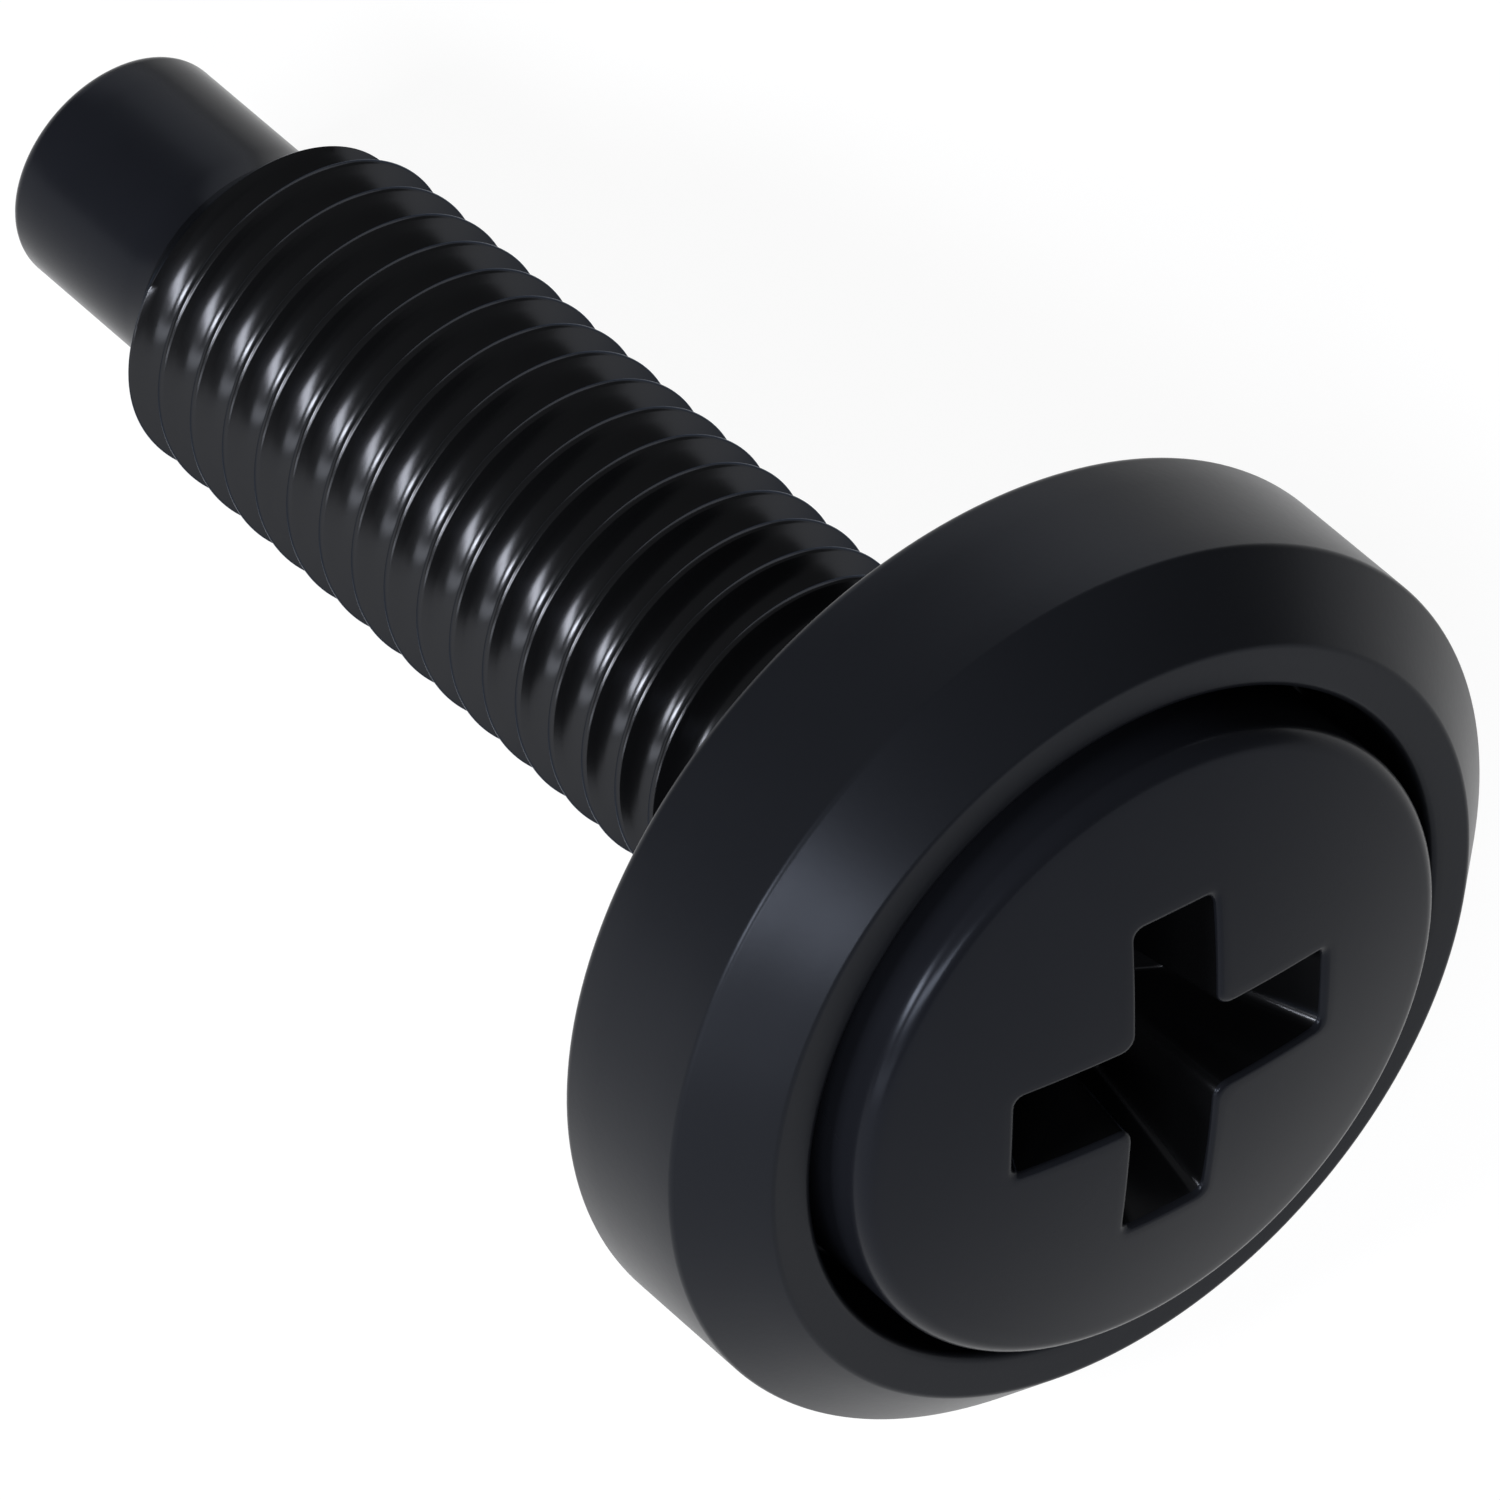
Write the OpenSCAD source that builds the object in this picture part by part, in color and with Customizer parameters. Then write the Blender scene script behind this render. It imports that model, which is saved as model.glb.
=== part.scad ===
// Server rack screw: M6 machine screw with a domed pan head, a cross recess, a dog point
// and a loose plastic cup washer that stays captive between head and thread.
// Along the screw's own axis, z = 0 is the back face of the washer, which seats on the rack rail.
// The head is at positive z and the dog point at negative z.
// The finished screw lies on its side as it comes to rest, on the washer's rim and the point's edge,
// with its head toward +X. The floor is z = 0 and the middle of its box is x = 0, y = 0.

/* [Thread] */
// outside diameter over the thread crests
thread_d = 5.9; // [4:0.05:8]
// distance from crest to crest
thread_pitch = 0.844; // [0.5:0.001:1.2]
// distance from the washer's back face to the small end of the lead chamfer
thread_reach = 18.45; // [8:0.05:40]
// distance from the washer's back face to the first of the thread, at the head end
thread_start = 0.3; // [0.1:0.05:2]
// turn of the thread about the axis, in degrees
thread_turn = 123.5; // [0:0.1:360]
// width of the crest's flat, as a part of the pitch
thread_crest = 0.12; // [0.08:0.005:0.16]
// slope of the flanks at the crest, drop per unit of height
thread_flank = 2.1; // [1.9:0.05:2.4]
// how late the hollow flanks level out toward the root
thread_hollow = 1.35; // [1.2:0.05:3]

/* [Dog point] */
// diameter of the plain pilot ahead of the thread
dog_d = 4.08; // [3:0.02:5]
// length of the plain pilot
dog_length = 3.68; // [1:0.02:6]
// rounding of the pilot's end edge
dog_round = 0.26; // [0.1:0.01:0.6]
// radial step from the pilot up to the small end of the lead chamfer
dog_step = 0.21; // [0.05:0.01:0.4]

/* [Neck] */
// radial step from the crests down to the plain neck under the head
neck_step = 0.3; // [0.25:0.01:0.4]
// fillet between neck and head
neck_fillet = 0.12; // [0.05:0.01:0.14]

/* [Head] */
// head diameter
head_d = 11.08; // [9:0.02:13]
// head height, from its flat underside to the top of the dome
head_h = 3.91; // [3:0.01:5]
// radius of the dome
dome_r = 24.2; // [16:0.1:40]
// rounding between dome and side
head_round = 0.35; // [0.15:0.01:0.6]

/* [Cross recess] */
// span of the cross, from one wing end to the opposite one, where it meets the dome
recess_span = 6.0; // [4:0.05:7]
// width of a wing at the top
recess_w = 1.6; // [1:0.02:2]
// depth at the axis, below the top of the dome
recess_depth = 3.45; // [2:0.05:3.6]
// slope of the wing ends, inward per unit of depth
recess_end_taper = 0.4986; // [0.3:0.001:0.6]
// slope of the wing sides, inward per unit of depth
recess_side_taper = 0.09; // [0.04:0.005:0.14]
// turn of the cross about the axis, in degrees
recess_turn = 77.2; // [0:0.1:90]

/* [Cup washer] */
// wall of the cup, from its opening to its outside
cup_wall = 1.85; // [1.4:0.01:3]
// full height of the cup washer
cup_h = 3.8; // [3:0.05:5]
// thickness of the cup's floor
cup_floor = 1.1; // [0.8:0.05:1.6]
// width and height of the 45 degree outer chamfer
cup_chamfer = 1.1; // [0.6:0.05:1.3]
// rounding of the back rim
cup_back_round = 0.2; // [0.1:0.01:0.4]
// small rounding of the other edges
cup_edge_round = 0.12; // [0.05:0.01:0.2]

/* [Fits] */
// radial gap between head and cup wall
head_gap = 0.39; // [0.2:0.01:0.8]
// gap between the head's underside and the cup's floor
seat_gap = 0.1; // [0.05:0.01:0.3]
// radial gap between neck and washer bore
bore_gap = 0.1; // [0.05:0.01:0.1]
// radial gap between the thread's crests and the flat of the washer's back face
seat_clear = 0.15; // [0.1:0.01:0.3]

/* [Hidden] */
$fn = 64;

crest_r = thread_d / 2;
neck_r = crest_r - neck_step;
bore_r = neck_r + bore_gap;
dog_r = dog_d / 2;
lead_r = dog_r + dog_step;
head_r = head_d / 2;
cup_open_r = head_r + head_gap;
cup_r = cup_open_r + cup_wall;

// heights along the axis
z_lead = -thread_reach;
z_tip = z_lead - dog_length;
z_run = -thread_start;
z_under = cup_floor + seat_gap;
z_top = z_under + head_h;
z_dome = z_top - dome_r;

// the head's edge rounding touches the side and the dome
rim_r = head_r - head_round;
rim_z = z_dome + sqrt(pow(dome_r - head_round, 2) - rim_r * rim_r);
rim_angle = atan2(rim_r, rim_z - z_dome);

// overlap where two shapes of the screw are joined
bite = 0.15;

// the blank's radius, where the thread runs out at the head end
blank_r = neck_r + 0.06;

// The screw rests on two edges: the washer's back rim and the point's end edge.
// rest_tilt is the rise of its axis, from the line that touches both roundings.
rest_s = [cup_back_round, z_tip + dog_round];
rest_r = [cup_r - cup_back_round, dog_r - dog_round];
rest_span = norm([rest_s[0] - rest_s[1], rest_r[0] - rest_r[1]]);
rest_tilt = atan2(rest_r[0] - rest_r[1], rest_s[0] - rest_s[1])
    + asin((cup_back_round - dog_round) / rest_span);

// the lying screw's box, from the washer's back face centre
low_x = rest_s[1] * cos(rest_tilt) - rest_r[1] * sin(rest_tilt) - dog_round;
high_x = rim_z * cos(rest_tilt) + rim_r * sin(rest_tilt) + head_round;
low_z = rest_s[0] * sin(rest_tilt) - rest_r[0] * cos(rest_tilt) - cup_back_round;
seat_place = [-(low_x + high_x) / 2, 0, -low_z];

// Thread form over one pitch, as parts of the pitch: height from the crest's middle and drop
// below the crest. Beside the crest's flat each flank hollows into the root. Its slope at y is
// thread_flank * (1 - y ^ thread_hollow), with y from 0 at the flat to 1 in the root's middle.
flat_edge = thread_crest / 2;
flank_w = 0.5 - flat_edge;
function drop(y) = thread_flank * flank_w * (y - pow(y, thread_hollow + 1) / (thread_hollow + 1));
flank_y = [0.66, 0.88, 1];
form = concat([[-flat_edge, 0], [flat_edge, 0]],
    [for (y = flank_y) [flat_edge + flank_w * y, drop(y)]],
    [for (k = [1, 0]) [1 - flat_edge - flank_w * flank_y[k], drop(flank_y[k])]]);
form_line = concat(form, [[1 - flat_edge, 0], [1, 0]]);
// mean slope of the long upper part of a flank
flank_slope = drop(flank_y[0]) / (flank_w * flank_y[0]);
marks = len(form);
columns = 30;
pitches = ceil((z_run - z_lead) / thread_pitch) + 4;
rows = marks * pitches;
// crest height in column 0 of the first pitch, below the thread's small end
z_first = thread_pitch * (thread_turn / 360
    + floor(z_lead / thread_pitch - 1 - thread_turn / 360));

// Radius of the threaded body at height z in column i: the thread form, fading to the blank over
// the last turn at the head end, under the 45 degree cone of the lead chamfer.
function fade(z) = max(0, min(1, (z_run - z) / thread_pitch));
function phase(z, i) = ((z - z_first) / thread_pitch - i / columns) % 1;
function form_r(z, i) = crest_r - thread_pitch * lookup(phase(z, i), form_line);
function body_r(z, i) = min(lead_r + z - z_lead, blank_r + (form_r(z, i) - blank_r) * fade(z));

// Height of row m in column i. Where the lead cone cuts a crest, the crest's two corners move
// along the flanks to where the flanks meet the cone.
function plain_z(i, m) = z_first
    + thread_pitch * (floor(m / marks) + i / columns + form[m % marks][0]);
function cut(z) = max(0, crest_r - (lead_r + z - z_lead));
most_shift = 0.96 * flank_w * flank_y[0] * thread_pitch;
function row_z(i, m) = let (z = plain_z(i, m))
    m % marks == 0 ? z - min(most_shift, cut(z) / (flank_slope - 1))
    : m % marks == 1 ? z + min(most_shift, cut(z) / (flank_slope + 1))
    : z;

// first and last row in use in each column: the ones that the two end planes take
near = 0.02;
low_row = [for (i = [0:columns - 1])
    max([for (m = [0:rows - 1]) row_z(i, m) < z_lead + near ? m : 0])];
high_row = [for (i = [0:columns - 1])
    min([for (m = [0:rows - 1]) row_z(i, m) > z_run - near ? m : rows - 1])];
function end_z(i, m) = m <= low_row[i] ? z_lead : m >= high_row[i] ? z_run : row_z(i, m);
thread_points = [for (i = [0:columns - 1]) for (m = [0:rows - 1])
    let (z = end_z(i, m), r = body_r(z, i))
    [r * cos(360 * i / columns), r * sin(360 * i / columns), z]];

// After the last column comes column 0 again, one pitch further on.
function index(i, m) = let (c = i % columns, n = i == columns ? m + marks : m)
    c * rows + max(low_row[c], min(high_row[c], n));
function solid_face(f) = f[0] != f[1] && f[1] != f[2] && f[2] != f[0];
side_faces = [for (i = [0:columns - 1]) for (m = [0:rows - 2 - marks])
    for (f = [[index(i, m), index(i, m + 1), index(i + 1, m)],
        [index(i, m + 1), index(i + 1, m + 1), index(i + 1, m)]])
    if (solid_face(f)) f];
low_face = [for (i = [0:columns - 1]) index(i, 0)];
high_face = [for (i = [columns - 1:-1:0]) index(i, rows - 1)];

// A profile is a list of [radius, height, corner rounding]. Each corner with a rounding becomes
// an arc of short lines that touches both of its sides.
function unit(v) = v / norm(v);
function arc(c, a, b, n) = let (w = acos(unit(a) * unit(b)))
    [for (k = [0:n]) c + (sin((n - k) / n * w) * a + sin(k / n * w) * b) / sin(w)];
function corner(a, p, b, r) = let (
    u = unit(a - p),
    v = unit(b - p),
    h = acos(u * v) / 2,
    c = p + unit(u + v) * r / sin(h),
    t = r / tan(h))
    arc(c, p + u * t - c, p + v * t - c, 5);
function flat(q) = [q[0], q[1]];
function rounded(t) = [for (i = [0:len(t) - 1])
    let (p = t[i], a = t[(i + len(t) - 1) % len(t)], b = t[(i + 1) % len(t)])
    each p[2] == 0 ? [flat(p)] : corner(flat(a), flat(p), flat(b), p[2])];

// half profile of the dome and of the rounding at its edge, from the axis outward
dome_line = [for (k = [0:7]) [dome_r * sin(rim_angle * k / 8),
    z_dome + dome_r * cos(rim_angle * k / 8)]];
rim_line = [for (k = [0:6]) let (a = rim_angle + (90 - rim_angle) * k / 6)
    [rim_r + head_round * sin(a), rim_z + head_round * cos(a)]];

// puts a shape made along z where the screw lies
module at_rest() {
    translate(seat_place) rotate([0, 90 - rest_tilt, 0]) children();
}

// one arm of the cross: a bar through the axis, narrower toward its bottom
module wing() {
    edge_z = z_dome + sqrt(dome_r * dome_r - pow(recess_span / 2, 2));
    high = z_top + 0.2;
    low = z_top - recess_depth - 0.1;
    top_l = recess_span / 2 + recess_end_taper * (high - edge_z);
    top_w = recess_w / 2 + recess_side_taper * (high - z_top);
    end_l = recess_span / 2 - recess_end_taper * (edge_z - low);
    end_w = recess_w / 2 - recess_side_taper * (z_top - low);
    polyhedron(
        points = [[-end_l, -end_w, low], [end_l, -end_w, low], [end_l, end_w, low],
            [-end_l, end_w, low], [-top_l, -top_w, high], [top_l, -top_w, high],
            [top_l, top_w, high], [-top_l, top_w, high]],
        faces = [[0, 1, 2, 3], [4, 5, 1, 0], [5, 6, 2, 1], [6, 7, 3, 2], [7, 4, 0, 3],
            [7, 6, 5, 4]]);
}

// the cross recess: two crossed wings over a blunt conical bottom
module recess() {
    bottom = z_top - recess_depth;
    rise = recess_depth + 0.3;
    rotate([0, 0, recess_turn]) intersection() {
        union() {
            wing();
            rotate([0, 0, 90]) wing();
        }
        translate([0, 0, bottom]) cylinder(h = rise, r1 = 0, r2 = rise / 0.5);
    }
}

// domed pan head with its neck
module head() {
    difference() {
        rotate_extrude() polygon(concat(
            rounded([[0, z_run - bite, 0], [neck_r, z_run - bite, 0],
                [neck_r, z_under, neck_fillet], [head_r, z_under, 0.25], [head_r, rim_z, 0]]),
            [for (k = [5:-1:0]) rim_line[k]],
            [for (k = [7:-1:0]) dome_line[k]]));
        recess();
    }
}

// right-hand thread with its lead chamfer
module threaded_body() {
    polyhedron(points = thread_points, faces = concat(side_faces, [low_face, high_face]));
}

// plain pilot that finds the cage nut's hole
module dog_point() {
    rotate_extrude() polygon(rounded([[0, z_tip, 0], [dog_r, z_tip, dog_round],
        [dog_r, z_lead + bite, 0], [0, z_lead + bite, 0]]));
}

// the screw: one piece of black finished steel
module screw() {
    color([0.137, 0.145, 0.161]) at_rest() {
        head();
        threaded_body();
        dog_point();
    }
}

// the cup washer: one moulded ring of black nylon around head and neck
module cup_washer() {
    color([0.125, 0.133, 0.149]) at_rest() rotate_extrude() polygon(rounded([
        [bore_r, 0, crest_r - bore_r + seat_clear],
        [cup_r, 0, cup_back_round],
        [cup_r, cup_h - cup_chamfer, cup_edge_round],
        [cup_r - cup_chamfer, cup_h, cup_edge_round],
        [cup_open_r, cup_h, cup_edge_round],
        [cup_open_r, cup_floor, 0.2],
        [bore_r, cup_floor, 0.15]]));
}

screw();
cup_washer();
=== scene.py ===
from math import asin, atan2, cos, hypot, pi, radians, sin, sqrt, tan

import bpy
import numpy as np
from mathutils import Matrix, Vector


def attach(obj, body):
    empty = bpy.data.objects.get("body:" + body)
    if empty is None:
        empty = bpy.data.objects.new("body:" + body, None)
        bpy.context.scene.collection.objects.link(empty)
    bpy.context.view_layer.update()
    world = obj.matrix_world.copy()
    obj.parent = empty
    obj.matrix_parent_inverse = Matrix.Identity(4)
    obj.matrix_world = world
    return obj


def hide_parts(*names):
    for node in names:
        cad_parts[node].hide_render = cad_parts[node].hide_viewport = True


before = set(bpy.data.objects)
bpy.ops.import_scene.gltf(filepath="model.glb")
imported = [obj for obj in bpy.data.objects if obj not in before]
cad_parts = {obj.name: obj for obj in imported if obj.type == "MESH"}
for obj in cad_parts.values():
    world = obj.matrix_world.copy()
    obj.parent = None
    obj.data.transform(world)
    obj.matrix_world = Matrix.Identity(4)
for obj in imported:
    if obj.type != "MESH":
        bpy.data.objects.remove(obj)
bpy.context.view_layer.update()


# How the screw lies
# A headed screw can't stand on its point, so it lies on the floor, on the washer's back rim and
# on the edge of its point. Its axis rises toward the head, which is toward +X.

MM = 0.001
CUP_R, CUP_BACK_ROUND = 7.78, 0.2
DOG_R, DOG_ROUND, TIP_Z = 2.04, 0.26, -22.13
HEAD_R, HEAD_ROUND, HEAD_TOP_Z, DOME_R = 5.54, 0.35, 5.11, 24.2
DOME_Z = HEAD_TOP_Z - DOME_R
RIM_R = HEAD_R - HEAD_ROUND
RIM_Z = DOME_Z + sqrt((DOME_R - HEAD_ROUND) ** 2 - RIM_R ** 2)

rest_rise = CUP_R - CUP_BACK_ROUND - (DOG_R - DOG_ROUND)
rest_run = CUP_BACK_ROUND - (TIP_Z + DOG_ROUND)
TILT = atan2(rest_rise, rest_run) + asin((CUP_BACK_ROUND - DOG_ROUND) / hypot(rest_rise, rest_run))
low_x = (TIP_Z + DOG_ROUND) * cos(TILT) - (DOG_R - DOG_ROUND) * sin(TILT) - DOG_ROUND
high_x = RIM_Z * cos(TILT) + RIM_R * sin(TILT) + HEAD_ROUND
low_z = CUP_BACK_ROUND * sin(TILT) - (CUP_R - CUP_BACK_ROUND) * cos(TILT) - CUP_BACK_ROUND
SEAT = np.array([-(low_x + high_x) / 2, 0.0, -low_z])
AXIS = np.array([cos(TILT), 0.0, sin(TILT)])
SIDE_1 = np.array([sin(TILT), 0.0, -cos(TILT)])
SIDE_2 = np.array([0.0, 1.0, 0.0])


def lay_down(points):
    """Screw's own millimetres to metres on the floor: seat + x side_1 + y side_2 + z axis."""
    return (SEAT + points @ np.array([SIDE_1, SIDE_2, AXIS])) * MM


# The screw
# One piece of steel wire, cold-headed into a domed pan head with a cross recess and a plain
# pilot point. The thread is rolled in afterwards, then the whole is coated black.

COLUMNS = 144
CREST_R, PITCH, THREAD_TURN = 2.95, 0.844, 118
LEAD_Z, LEAD_R, LEAD_SOFTNESS = -18.45, 2.18, 0.02
RUN_OUT_Z, BLANK_R = -0.3, 2.71
NECK_R, NECK_FILLET, NECK_MIDDLE_Z = 2.65, 0.12, 0.6
HEAD_UNDER_Z, HEAD_UNDER_ROUND = 1.2, 0.25
DOG_FILLET = 0.08
RECESS_TURN, RECESS_DEPTH = 77.2, 3.45
WING_REACH, WING_HALF, END_TAPER, SIDE_TAPER = 3.0, 0.8, 0.4986, 0.09
OUTER_ROUND, INNER_ROUND, LIP_ROUND, FOOT_ROUND, FLOOR_SLOPE = 0.2, 0.24, 0.09, 0.13, 0.5
RECESS_BOTTOM_Z = HEAD_TOP_Z - RECESS_DEPTH
WING_END_Z = DOME_Z + sqrt(DOME_R ** 2 - WING_REACH ** 2)
column_turn = radians(RECESS_TURN) + 2 * pi * np.arange(COLUMNS) / COLUMNS


def ring_rows(profile, angles):
    """Each (radius, height) of the profile, carried once round the axis."""
    r, z = np.asarray(profile, float).T
    return np.stack([np.outer(r, np.cos(angles)), np.outer(r, np.sin(angles)),
                     np.repeat(z[:, None], len(angles), 1)], -1)


def fillet(centre, radius, start, end, steps):
    """Points on a circle in the (radius, height) plane, from one angle in degrees to another."""
    angle = np.radians(np.linspace(start, end, steps + 1))
    return np.stack([centre[0] + radius * np.cos(angle), centre[1] + radius * np.sin(angle)], -1)


def cross_outline(reach, half):
    """One cross seen from above, for each column, with its first wing along the first column.
    From a wing's end middle: straight end, outer round, straight side, and half the inner round
    to the diagonal; then the same mirrored on the diagonal, and turned for the other wings."""
    end = np.linspace(0, 1, 6)[:-1]
    outer = np.radians(np.linspace(0, 90, 5))[:-1]
    side = np.linspace(0, 1, 7)[:-1]
    inner = np.radians(np.linspace(-90, -135, 4))
    one, zero = np.ones_like, np.zeros_like
    # each point lies at x = reach * reach_x + half * half_x + round_x, and y = half * half_y + round_y
    reach_x = np.concatenate([one(end), one(outer), 1 - side, zero(inner)])
    half_x = np.concatenate([zero(end), zero(outer), side, one(inner)])
    round_x = np.concatenate([zero(end), OUTER_ROUND * (np.cos(outer) - 1),
                              -OUTER_ROUND * (1 - side) + INNER_ROUND * side,
                              INNER_ROUND * (1 + np.cos(inner))])
    half_y = np.concatenate([end, one(outer), one(side), one(inner)])
    round_y = np.concatenate([-OUTER_ROUND * end, OUTER_ROUND * (np.sin(outer) - 1), zero(side),
                              INNER_ROUND * (1 + np.sin(inner))])
    eighth = COLUMNS // 8
    column = np.arange(COLUMNS) % (2 * eighth)
    mark = np.minimum(column, 2 * eighth - column)
    x = reach * reach_x[mark] + half * half_x[mark] + round_x[mark]
    y = half * half_y[mark] + round_y[mark]
    x, y = np.where(column <= eighth, x, y), np.where(column <= eighth, y, x)
    wing = radians(RECESS_TURN) + (np.arange(COLUMNS) // (2 * eighth)) * pi / 2
    return np.stack([x * np.cos(wing) - y * np.sin(wing), x * np.sin(wing) + y * np.cos(wing)], -1)


def dome(xy):
    """Height of the domed face: a sphere about a point on the axis."""
    return DOME_Z + np.sqrt(DOME_R ** 2 - (xy ** 2).sum(-1))


def recess_wall(z, outward=0.0):
    """The recess's outline at height z: its ends and sides lean in toward the bottom. It can be
    set outward by the same length everywhere."""
    return cross_outline(WING_REACH - END_TAPER * (WING_END_Z - z) + outward,
                         WING_HALF - SIDE_TAPER * (HEAD_TOP_Z - z) + outward)


def head_rows():
    """Rings from the middle of the recess's sloping floor, round its foot, up its wall, over its
    rounded lip and the dome, down the side and under the head to the end of the neck. Also gives
    the number of the ring at the wall's top."""
    top = dome(recess_wall(HEAD_TOP_Z))
    # the floor's height where it meets the wall, found by repeating
    floor = np.full(COLUMNS, RECESS_BOTTOM_Z)
    for _ in range(30):
        wall = recess_wall(floor)
        floor = RECESS_BOTTOM_Z + FLOOR_SLOPE * np.hypot(wall[:, 0], wall[:, 1])
    # the foot's round touches the sloping floor and the wall
    centre = floor - FLOOR_SLOPE * FOOT_ROUND + FOOT_ROUND * hypot(1, FLOOR_SLOPE)
    foot_rows = []
    for angle in np.linspace(atan2(FLOOR_SLOPE, 1), radians(85), 8):
        z = centre - FOOT_ROUND * cos(angle)
        foot_rows.append(np.column_stack([recess_wall(z, -FOOT_ROUND * (1 - sin(angle))), z]))
    first = foot_rows[0]
    rows = []
    for part in np.linspace(0, 1, 6)[:-1]:
        z = RECESS_BOTTOM_Z + part * (first[:, 2] - RECESS_BOTTOM_Z)
        rows.append(np.column_stack([part * first[:, :2], z]))
    rows += foot_rows
    for part in np.linspace(0, 1, 12):
        z = centre + part * (top - LIP_ROUND - centre)
        rows.append(np.column_stack([recess_wall(z), z]))
    wall_top = len(rows) - 1
    for angle in np.radians(np.linspace(90, 0, 6))[1:]:
        sunk = LIP_ROUND * (1 - cos(angle))
        xy = recess_wall(top - sunk, LIP_ROUND * (1 - sin(angle)))
        rows.append(np.column_stack([xy, dome(xy) - sunk]))
    rim_angle = atan2(RIM_R, RIM_Z - DOME_Z)
    edge = DOME_R * sin(rim_angle) * np.column_stack([np.cos(column_turn), np.sin(column_turn)])
    for part in np.linspace(0, 1, 15)[1:]:
        between = xy + (edge - xy) * part
        rows.append(np.column_stack([between, dome(between)]))
    side_z = np.linspace(RIM_Z, HEAD_UNDER_Z + HEAD_UNDER_ROUND, 5)[1:]
    under_r = np.linspace(HEAD_R - HEAD_UNDER_ROUND, NECK_R + NECK_FILLET, 5)[1:]
    profile = np.concatenate([
        fillet((RIM_R, RIM_Z), HEAD_ROUND, 90 - np.degrees(rim_angle), 0, 8)[1:],
        np.column_stack([np.full(4, HEAD_R), side_z]),
        fillet((HEAD_R - HEAD_UNDER_ROUND, HEAD_UNDER_Z + HEAD_UNDER_ROUND),
               HEAD_UNDER_ROUND, 0, -90, 6)[1:],
        np.column_stack([under_r, np.full(4, HEAD_UNDER_Z)]),
        fillet((NECK_R + NECK_FILLET, HEAD_UNDER_Z - NECK_FILLET), NECK_FILLET, 90, 180, 5)[1:],
        [(NECK_R, NECK_MIDDLE_Z), (NECK_R, 0.0), (NECK_R, RUN_OUT_Z), (BLANK_R, RUN_OUT_Z)]])
    return np.concatenate([np.array(rows), ring_rows(profile, column_turn)]), wall_top


def thread_form():
    """The form over one pitch, as parts of the pitch: (offset from the crest's middle, drop below
    the crest). A flat crest with small rounded corners. From its edges both flanks hollow into
    the root: slope = flank * (1 - y ** hollow), with y from 0 at the edge to 1 in the root. Also
    gives how many of its points are the crest's."""
    edge, corner, flank, low, depth = 0.0625, 0.075, 2.1, 0.5625, 0.53
    steep = atan2(flank, 1)
    flat = edge - corner * tan(steep / 2)
    angle = np.linspace(0, steep, 5)
    right = np.column_stack([flat + corner * np.sin(angle), corner - corner * np.cos(angle)])
    left = right[::-1] * (-1, 1)
    middle = np.column_stack([np.linspace(-flat, flat, 4)[1:-1], np.zeros(2)])
    crest = np.concatenate([left, middle, right])
    sides = []
    for width in (low - edge, 1 - edge - low):
        # the exponent that gives this flank the full depth over its width
        part = depth / (width * flank)
        hollow = part / (1 - part)
        y = np.array([0.18, 0.36, 0.53, 0.68, 0.81, 0.91, 1.0])
        drop = width * flank * (y - y ** (hollow + 1) / (hollow + 1))
        sides.append(np.column_stack([edge + width * y, drop]))
    down, up = sides[0], sides[1][-2::-1] * (-1, 1) + (1, 0)
    return np.concatenate([crest, down, up]), len(crest)


def thread_rows():
    """The threaded body as a height field over (height, column). Row m of column i lies on the
    helix: height = pitch * (turn + whole turns + offset). The radius is the form, fading to the
    blank over the last turn, under the 45 degree cone of the lead chamfer, softly joined."""
    form, crest_rows = thread_form()
    marks = len(form)
    offset, drop = form.T
    start = THREAD_TURN / 360 + column_turn / (2 * pi)
    first = np.floor(LEAD_Z / PITCH - 1 - start[0]) + start
    pitches = int(np.ceil((RUN_OUT_Z - LEAD_Z) / PITCH)) + 4
    crest_z = PITCH * (first[None, :] + np.arange(pitches)[:, None])
    three_offsets = np.concatenate([offset - 1, offset, offset + 1])
    three_drops = np.tile(drop, 3)

    def cone(z):
        """Radius of the lead chamfer's cone."""
        return LEAD_R + z - LEAD_Z

    def formed(z):
        """Radius of the endless thread."""
        return CREST_R - PITCH * np.interp((z / PITCH - start) % 1, three_offsets, three_drops)

    def meet(near, reach):
        """Where the flank beside a crest's edge meets the cone, found by halving the reach."""
        far, cut = near + reach, cone(near) < CREST_R
        for _ in range(16):
            half = (near + far) / 2
            above = formed(half) > cone(half)
            near, far = np.where(above, half, near), np.where(above, far, half)
        return cut, near

    # where the cone cuts a crest, the crest's rows spread to where its flanks meet the cone
    edge = offset[crest_rows - 1] * PITCH
    ends = []
    for side in (-edge, edge):
        cut, met = meet(crest_z + side, 0.4 * PITCH * np.sign(side))
        ends.append(np.where(cut, met, crest_z + side))
    part = (offset[:crest_rows] / offset[crest_rows - 1] + 1) / 2
    z = crest_z[:, None, :] + offset[None, :, None] * PITCH
    z[:, :crest_rows] = ends[0][:, None] + part[None, :, None] * (ends[1] - ends[0])[:, None]
    z[:, crest_rows:] = np.maximum(z[:, crest_rows:], z[:, crest_rows - 1:crest_rows])
    z[:-1, crest_rows:] = np.minimum(z[:-1, crest_rows:], z[1:, :1])
    z = np.clip(z.reshape(pitches * marks, COLUMNS), LEAD_Z, RUN_OUT_Z)

    fade = np.clip((RUN_OUT_Z - z) / PITCH, 0, 1)
    r = BLANK_R + (formed(z) - BLANK_R) * fade
    gap = cone(z) - r
    r = r - 0.5 * (np.sqrt(gap ** 2 + LEAD_SOFTNESS ** 2) - gap)
    r = np.where(z <= LEAD_Z, LEAD_R, np.where(z >= RUN_OUT_Z, BLANK_R, r))
    return np.stack([r * np.cos(column_turn), r * np.sin(column_turn), z], -1), marks


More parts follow.
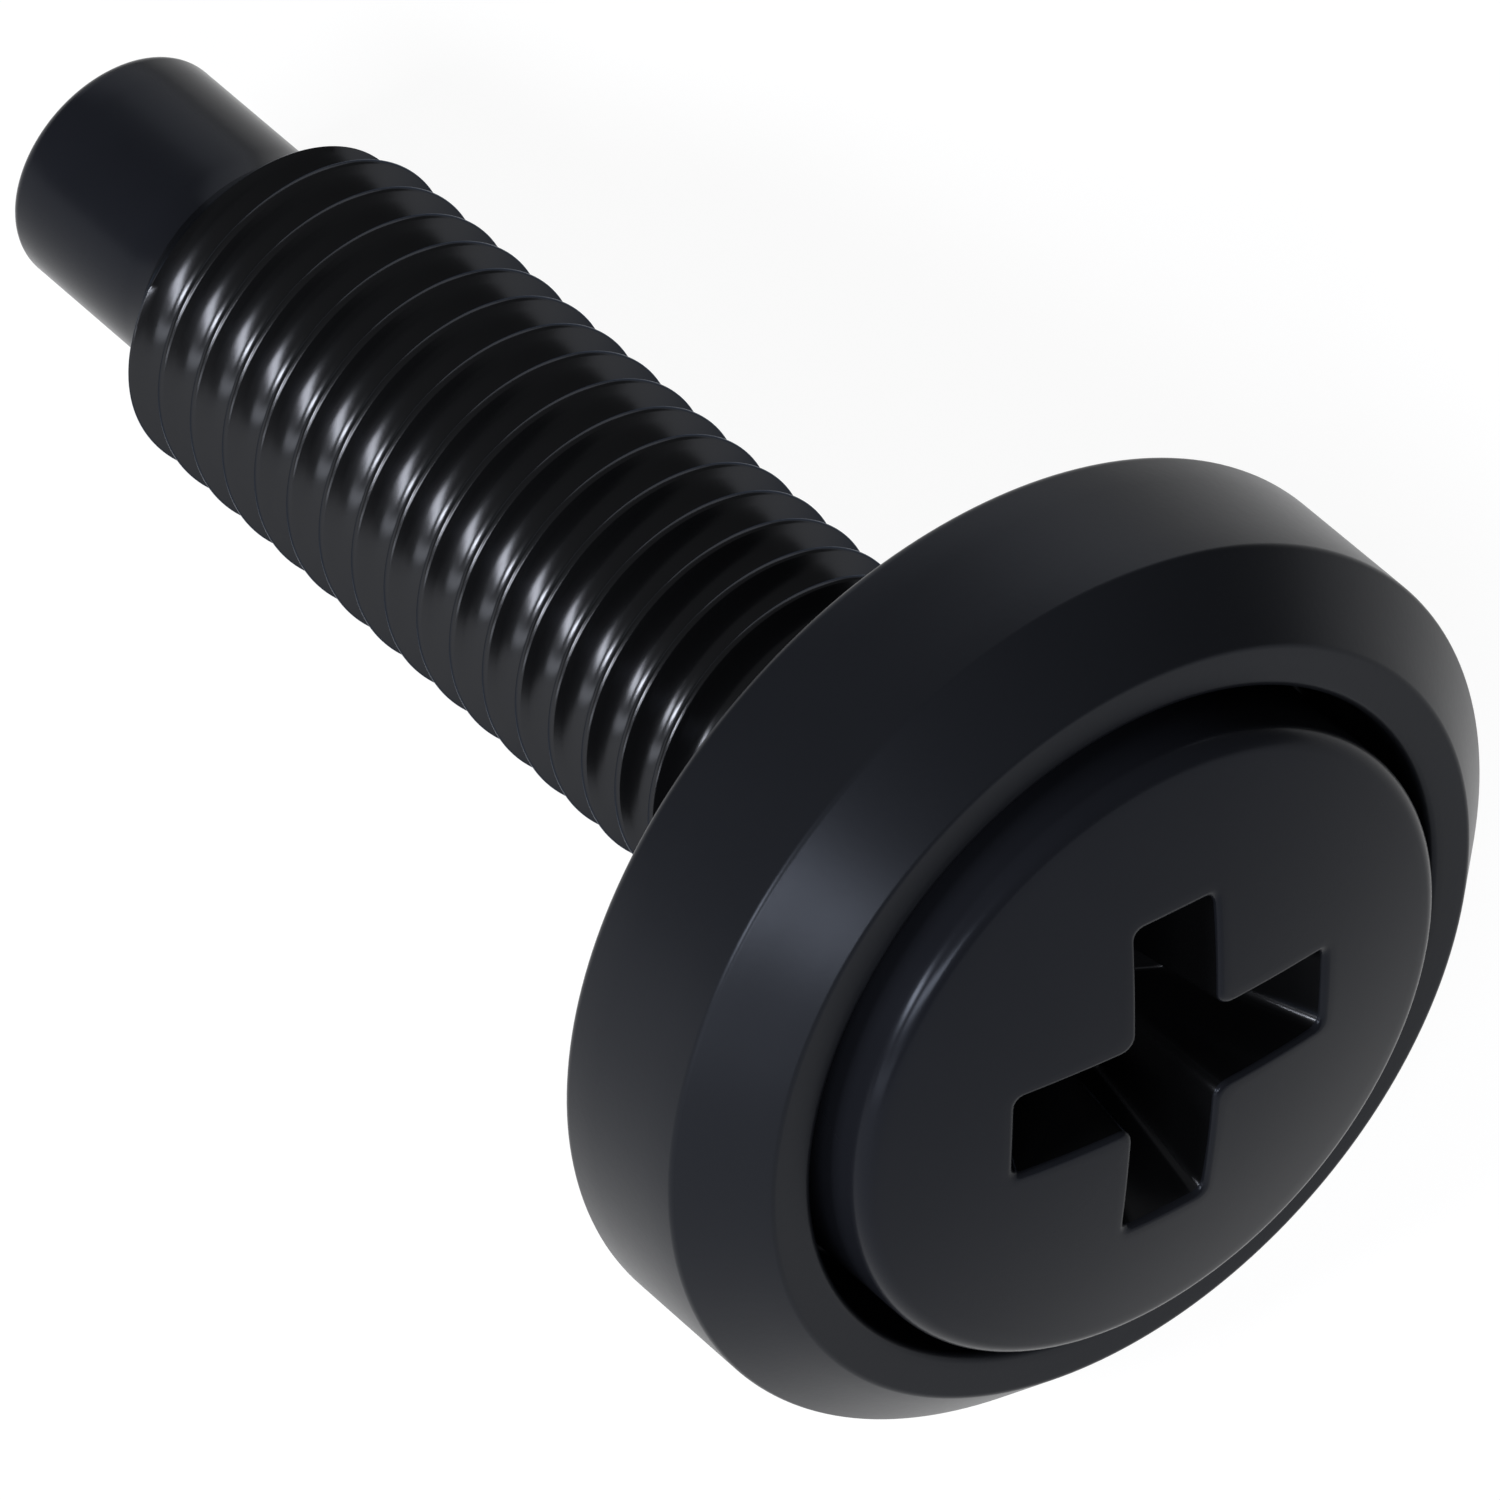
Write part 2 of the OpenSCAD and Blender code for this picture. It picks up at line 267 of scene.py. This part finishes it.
def strips(rows, shift):
    """Corner numbers of the quads of a grid that is closed round its columns. After the last
    column comes the first again, shift rows further on."""
    m, n = rows.shape[:2]
    index = np.arange(m * n).reshape(m, n)
    near = index[:m - shift]
    far = np.concatenate([near[:, 1:], index[shift:, :1]], 1)
    return np.stack([near[:-1], far[:-1], far[1:], near[1:]], -1).reshape(-1, 4)


def skin(name, grids):
    """One closed mesh from several closed grids, each (rows, shift, number of its finish). Points
    in one place become one, and faces without area are left out."""
    points, quads, finish, base = [], [], [], 0
    for rows, shift, number in grids:
        points.append(rows.reshape(-1, 3))
        quads.append(strips(rows, shift) + base)
        finish.append(np.full(len(quads[-1]), number))
        base += rows.shape[0] * rows.shape[1]
    points, quads, finish = np.concatenate(points), np.concatenate(quads), np.concatenate(finish)
    _, first, same = np.unique(np.round(points, 6), axis=0, return_index=True, return_inverse=True)
    quads = same.reshape(-1)[quads]
    halves = np.concatenate([quads[:, [0, 1, 3]], quads[:, [1, 2, 3]]])
    a, b, c = halves.T
    kept = (a != b) & (b != c) & (c != a)
    halves, finish = halves[kept], np.tile(finish, 2)[kept]
    mesh = bpy.data.meshes.new(name)
    mesh.from_pydata(lay_down(points[first]), [], halves.tolist())
    mesh.polygons.foreach_set("material_index", finish.astype(np.int32))
    mesh.update()
    mesh.shade_smooth()
    mesh.set_sharp_from_angle(angle=radians(38))
    piece = bpy.data.objects.new(name, mesh)
    bpy.context.scene.collection.objects.link(piece)
    return piece


dog_side_z = np.linspace(LEAD_Z - DOG_FILLET, TIP_Z + DOG_ROUND, 8)[1:]
dog_profile = np.concatenate([
    [(LEAD_R, LEAD_Z), (DOG_R + DOG_FILLET, LEAD_Z)],
    fillet((DOG_R + DOG_FILLET, LEAD_Z - DOG_FILLET), DOG_FILLET, 90, 180, 4)[1:],
    np.column_stack([np.full(7, DOG_R), dog_side_z]),
    fillet((DOG_R - DOG_ROUND, TIP_Z + DOG_ROUND), DOG_ROUND, 0, -90, 9)[1:],
    [(1.2, TIP_Z), (0.6, TIP_Z), (0.0, TIP_Z)]])
threaded, marks = thread_rows()
head, wall_top = head_rows()
COATED, ROLLED = 0, 1
screw = skin("black_screw", [
    (ring_rows(dog_profile, column_turn)[::-1], 0, COATED), (threaded, marks, ROLLED),
    (head[wall_top:][::-1], 0, COATED), (head[:wall_top + 1][::-1], 0, ROLLED)])


class Value:
    """A shader socket. Python arithmetic on it adds Math nodes to its finish."""

    def __init__(self, finish, socket):
        self.finish, self.socket = finish, socket

    def math(self, operation, other):
        """This value and another one through a Math node."""
        return self.finish.node("ShaderNodeMath", {"operation": operation}, {0: self, 1: other})

    def __add__(self, other):
        return self.math("ADD", other)

    def __mul__(self, other):
        return self.math("MULTIPLY", other)

    __radd__, __rmul__ = __add__, __mul__


class Finish:
    """A new material and its nodes. What is the same all over is set on the shader's sockets."""

    def __init__(self, name, constants):
        self.material = bpy.data.materials.new(name)
        self.material.use_nodes = True
        self.tree = self.material.node_tree
        self.shader = self.tree.nodes["Principled BSDF"]
        for key, value in constants.items():
            self.shader.inputs[key].default_value = value

    def node(self, kind, settings=None, inputs=None, output=0):
        """Adds a node, sets its settings, then its sockets' values or links, and gives one output."""
        made = self.tree.nodes.new(kind)
        for key, value in (settings or {}).items():
            setattr(made, key, value)
        for key, value in (inputs or {}).items():
            if isinstance(value, Value):
                self.feed(value, made.inputs[key])
            else:
                made.inputs[key].default_value = value
        return Value(self, made.outputs[output])

    def feed(self, value, socket):
        """Links a value to a socket."""
        self.tree.links.new(value.socket, socket)


def black_finish(name, constants, roughness, tones, cloud_scale, grain_scale, grain_detail, bump):
    """A black surface. A slow cloud and a fine grain are noise on the piece's own coordinates.
    roughness = its own + cloud * cloud_part + grain * grain_part. The tone runs between two
    blacks with the cloud, and the grain stands up as a slight bump."""
    finish = Finish(name, constants)
    place = finish.node("ShaderNodeTexCoord", output="Object")
    cloud = finish.node("ShaderNodeTexNoise", inputs={
        "Vector": place, "Scale": cloud_scale, "Detail": 4.0})
    grain = finish.node("ShaderNodeTexNoise", inputs={
        "Vector": place, "Scale": grain_scale, "Detail": grain_detail})
    own, cloud_part, grain_part = roughness
    finish.feed(own + cloud * cloud_part + grain * grain_part, finish.shader.inputs["Roughness"])
    dark, light = tones
    tone = finish.node("ShaderNodeMix", {"data_type": "RGBA"}, {
        "Factor": cloud, 6: (*dark, 1), 7: (*light, 1)}, output=2)
    finish.feed(tone, finish.shader.inputs["Base Color"])
    raised = finish.node("ShaderNodeBump", inputs={
        "Strength": bump, "Distance": 0.00002, "Height": grain})
    finish.feed(raised, finish.shader.inputs["Normal"])
    return finish.material


COOL_TINT = (0.77, 0.84, 1.0, 1)
screw.data.materials.append(black_finish(
    "black_coated_steel", {"IOR": 1.5, "Specular IOR Level": 0.11, "Specular Tint": COOL_TINT},
    roughness=(0.2, 0.05, 0.03), tones=((0.0064, 0.007, 0.0092), (0.0084, 0.0091, 0.0119)),
    cloud_scale=420.0, grain_scale=5200.0, grain_detail=3.0, bump=0.03))
screw.data.materials.append(black_finish(
    "black_rolled_steel",
    {"Metallic": 0.92, "IOR": 1.5, "Specular IOR Level": 0.2, "Specular Tint": (0.37, 0.39, 0.43, 1)},
    roughness=(0.17, 0.05, 0.03), tones=((0.033, 0.034, 0.037), (0.038, 0.039, 0.042)),
    cloud_scale=420.0, grain_scale=5200.0, grain_detail=3.0, bump=0.02))
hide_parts("screw")
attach(screw, "screw_body")


# The cup washer
# A thick ring moulded in black nylon, with a chamfered outer edge and a flat back. The screw's
# head sinks into its cup, and the rolled thread keeps it on the neck, where it turns freely.

CUP_OPEN_R, CUP_H, CUP_CHAMFER, CUP_FLOOR, BORE_R = 5.93, 3.8, 1.1, 1.1, 2.75
BACK_BORE_ROUND, SIDE_ROUND, FACE_ROUND, FLOOR_ROUND, FLOOR_BORE_ROUND = 0.35, 0.16, 0.14, 0.2, 0.15
CUP_COLUMNS = 224


def rounded(corners):
    """For each corner (radius, height, rounding) of a closed profile, the arc that touches both of
    its sides. With w the arc's sweep and k from 0 to 1 along it, a point lies from the centre at
    (sin((1 - k) w) * first + sin(k w) * last) / sin w."""
    arcs = []
    for i, (x, y, radius) in enumerate(corners):
        corner = np.array([x, y])
        back = np.array(corners[i - 1][:2]) - corner
        ahead = np.array(corners[(i + 1) % len(corners)][:2]) - corner
        back, ahead = back / np.linalg.norm(back), ahead / np.linalg.norm(ahead)
        half = np.arccos(back @ ahead) / 2
        centre = corner + (back + ahead) / np.linalg.norm(back + ahead) * radius / sin(half)
        first = corner + back * radius / tan(half) - centre
        last = corner + ahead * radius / tan(half) - centre
        w = pi - 2 * half
        k = np.linspace(0, 1, 9)[:, None]
        arcs.append(centre + (np.sin((1 - k) * w) * first + np.sin(k * w) * last) / sin(w))
    return arcs


def with_steps(arcs, steps):
    """The profile's arcs joined by straight sides, each cut into steps."""
    out = []
    for i, arc in enumerate(arcs):
        following = arcs[(i + 1) % len(arcs)][0]
        out.append(arc)
        out.append(arc[-1] + (following - arc[-1]) * np.linspace(0, 1, steps + 1)[1:-1, None])
    return np.concatenate(out + [arcs[0][:1]])


cup_profile = with_steps(rounded([
    (BORE_R, 0, BACK_BORE_ROUND), (CUP_R, 0, CUP_BACK_ROUND), (CUP_R, CUP_H - CUP_CHAMFER, SIDE_ROUND),
    (CUP_R - CUP_CHAMFER, CUP_H, FACE_ROUND), (CUP_OPEN_R, CUP_H, FACE_ROUND),
    (CUP_OPEN_R, CUP_FLOOR, FLOOR_ROUND), (BORE_R, CUP_FLOOR, FLOOR_BORE_ROUND)]), 4)
cup_turn = 2 * pi * np.arange(CUP_COLUMNS) / CUP_COLUMNS
cup = skin("cup_ring", [(ring_rows(cup_profile, cup_turn), 0, 0)])
cup.data.materials.append(black_finish(
    "black_nylon", {"IOR": 1.5, "Specular IOR Level": 0.135, "Specular Tint": COOL_TINT},
    roughness=(0.28, 0.06, 0.03), tones=((0.0068, 0.0074, 0.0092), (0.0088, 0.0095, 0.0116)),
    cloud_scale=260.0, grain_scale=9000.0, grain_detail=2.0, bump=0.05))
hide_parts("cup_washer")
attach(cup, "washer_body")


# Floor and light
# A plain white floor, a white surround and four soft lamps. The camera and reflections see the
# floor as white, and the floor still takes the soft shadow where the screw touches it.

FLOOR_HALF, FLOOR_GLOW, FLOOR_GREY, SURROUND = 3, 0.93, 0.12, 0.16
LAMP_AWAY, LAMP_TINT = 0.5, (0.93, 0.95, 1.0)

mesh = bpy.data.meshes.new("floor")
mesh.from_pydata([(-FLOOR_HALF, -FLOOR_HALF, 0), (FLOOR_HALF, -FLOOR_HALF, 0),
                  (FLOOR_HALF, FLOOR_HALF, 0), (-FLOOR_HALF, FLOOR_HALF, 0)], [], [(0, 1, 2, 3)])
floor = bpy.data.objects.new("floor", mesh)
bpy.context.scene.collection.objects.link(floor)
white_floor = Finish("white_floor", {})
seen = white_floor.node("ShaderNodeLightPath", output="Is Camera Ray")
for way in ("Is Glossy Ray", "Is Transmission Ray"):
    seen = seen.math("MAXIMUM", white_floor.node("ShaderNodeLightPath", output=way))
lit = white_floor.node("ShaderNodeEmission", inputs={"Strength": FLOOR_GLOW})
dull = white_floor.node("ShaderNodeBsdfDiffuse", inputs={
    "Color": (FLOOR_GREY, FLOOR_GREY, FLOOR_GREY, 1)})
both = white_floor.node("ShaderNodeAddShader", inputs={0: lit, 1: dull})
mixed = white_floor.node("ShaderNodeMixShader", inputs={0: seen, 1: dull, 2: both})
white_floor.feed(mixed, white_floor.tree.nodes["Material Output"].inputs["Surface"])
white_floor.tree.nodes.remove(white_floor.shader)
floor.data.materials.append(white_floor.material)

world = bpy.data.worlds.new("surround")
bpy.context.scene.world = world
world.use_nodes = True
background = world.node_tree.nodes["Background"]
background.inputs["Color"].default_value = (1, 1, 1, 1)
background.inputs["Strength"].default_value = SURROUND


def soft_lamp(name, around, rise, width, height, power):
    """A flat lamp that faces the screw, from its direction round the floor and its rise above
    the floor, both in degrees."""
    light = bpy.data.lights.new(name, "AREA")
    light.shape, light.size, light.size_y, light.energy = "RECTANGLE", width, height, power
    light.color = LAMP_TINT
    lamp = bpy.data.objects.new(name, light)
    around, rise = radians(around), radians(rise)
    way = Vector((cos(rise) * cos(around), cos(rise) * sin(around), sin(rise)))
    lamp.location = Vector(SEAT * MM) + way * LAMP_AWAY
    lamp.rotation_euler = way.to_track_quat("Z", "Y").to_euler()
    lamp.visible_camera = False
    bpy.context.scene.collection.objects.link(lamp)


soft_lamp("key", -98, 33, 0.17, 0.085, 1.95)
soft_lamp("side", -48, 34, 0.28, 0.1, 1.65)
soft_lamp("low", -66, 9, 0.44, 0.08, 0.42)
soft_lamp("fill", 145, 17, 0.56, 0.24, 0.5)


# Camera
# A long lens from above the head, at the angle at which the photograph shows the screw. It looks
# a little beside the middle of the washer's back, so that the whole screw fills the picture.

RISE, AROUND = 59.2589, 51.1228
ASIDE, ABOVE, AWAY = -3.3438, 2.1721, 311.776

eye = bpy.data.cameras.new("camera")
eye.sensor_width, eye.lens = 36, 492.24
eye.clip_start, eye.clip_end = 0.01, 20
camera = bpy.data.objects.new("camera", eye)
camera.rotation_euler = (pi / 2 - radians(RISE), 0, radians(AROUND))
turned = camera.rotation_euler.to_matrix()
camera.location = Vector(SEAT * MM) + turned @ (Vector((ASIDE, ABOVE, AWAY)) * MM)
bpy.context.scene.collection.objects.link(camera)
bpy.context.scene.camera = camera
bpy.context.scene.view_settings.view_transform = "Standard"
